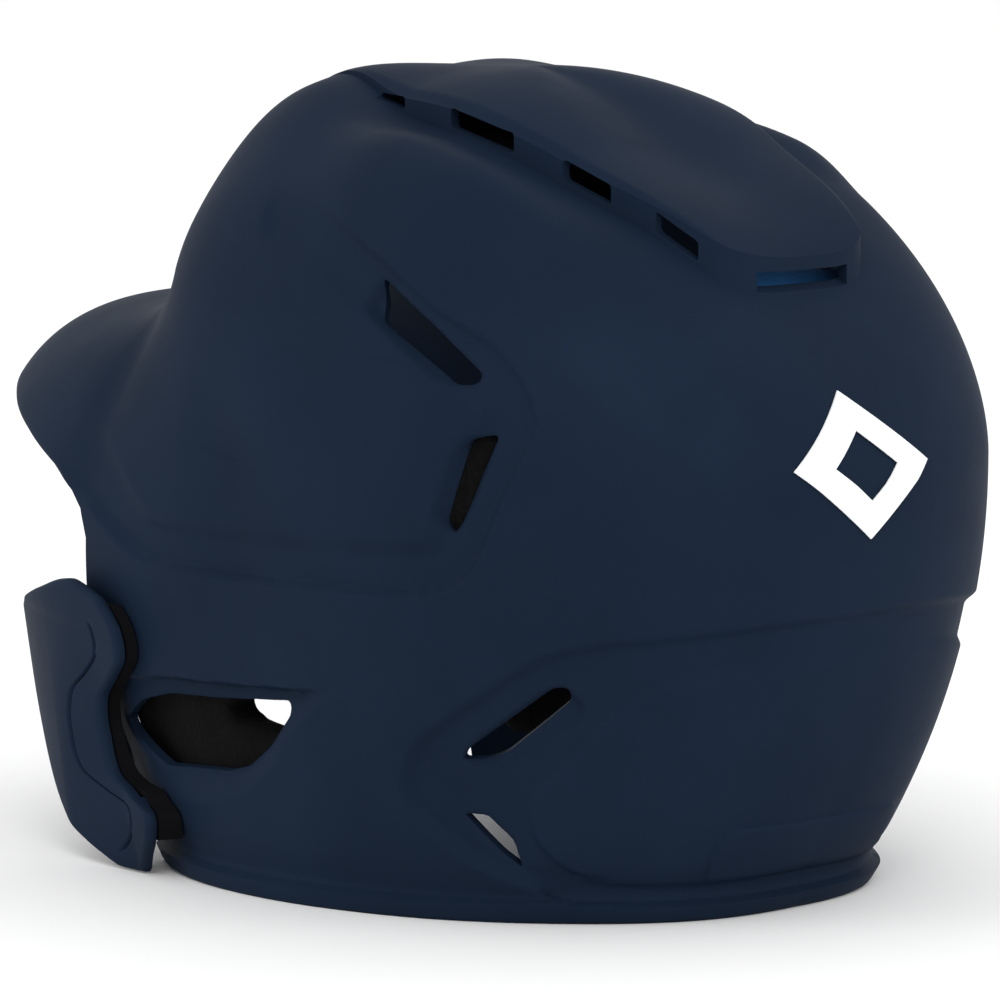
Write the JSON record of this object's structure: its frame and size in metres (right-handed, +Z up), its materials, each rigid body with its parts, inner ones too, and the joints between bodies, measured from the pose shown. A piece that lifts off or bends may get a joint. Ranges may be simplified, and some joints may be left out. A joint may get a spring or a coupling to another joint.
{
  "type": "batting helmet",
  "caption": "Double-flap batting helmet with a visor, raised vented crown panel, side vents, foam liner and a screwed-on jaw guard.",
  "frame": {"origin": "under the middle of the helmet's overall length and width, on the plane of the rim", "axes": "+Z up, -Y towards the visor, +X towards the wearer's left, where the jaw guard is"},
  "size_m": [0.2078, 0.3078, 0.2216],
  "materials": {
    "navy_shell": "matte moulded ABS in dark navy",
    "black_rubber": "black foam-rubber gasket",
    "steel": "zinc-plated steel",
    "brass": "knurled brass insert",
    "blue_foam": "moulded closed-cell foam, blue",
    "dark_comfort_foam": "charcoal fabric-faced comfort foam",
    "black_fabric": "black brushed fabric over foam",
    "white_decal": "white vinyl decal"
  },
  "bodies": {
    "helmet": {"outer_shell": "navy_shell", "guard_washer_upper": "steel", "guard_washer_lower": "steel", "crown_pad": "black_fabric", "crown_comfort_pad": "dark_comfort_foam", "brow_pad": "blue_foam", "brow_comfort_pad": "dark_comfort_foam", "left_side_pad": "black_fabric", "left_side_comfort_pad": "dark_comfort_foam", "right_side_pad": "black_fabric", "right_side_comfort_pad": "dark_comfort_foam", "rear_pad": "black_fabric", "rear_comfort_pad": "dark_comfort_foam", "nape_pad": "blue_foam", "nape_comfort_pad": "dark_comfort_foam", "left_ear_pad": "black_fabric", "right_ear_pad": "black_fabric", "rear_decal": "white_decal"},
    "jaw_guard_assembly": {"jaw_guard": "navy_shell", "jaw_guard_gasket": "black_rubber", "guard_insert_upper": "brass", "guard_insert_lower": "brass"},
    "upper_screw": {"guard_screw_upper": "steel"},
    "lower_screw": {"guard_screw_lower": "steel"}
  },
  "joints": [
    {"name": "jaw_guard_slide", "type": "slide", "parent": "helmet", "child": "jaw_guard_assembly", "axis": [0.9613, -0.2756, 0], "range_m": [0, 0.025]},
    {"name": "upper_screw_turn", "type": "hinge", "parent": "helmet", "child": "upper_screw", "pos_m": [0.0897, -0.04862, 0.066], "axis": [0.9613, -0.2756, 0], "continuous": true},
    {"name": "lower_screw_turn", "type": "hinge", "parent": "helmet", "child": "lower_screw", "pos_m": [0.08151, -0.03819, 0.0165], "axis": [0.9613, -0.2756, 0], "continuous": true}
  ]
}
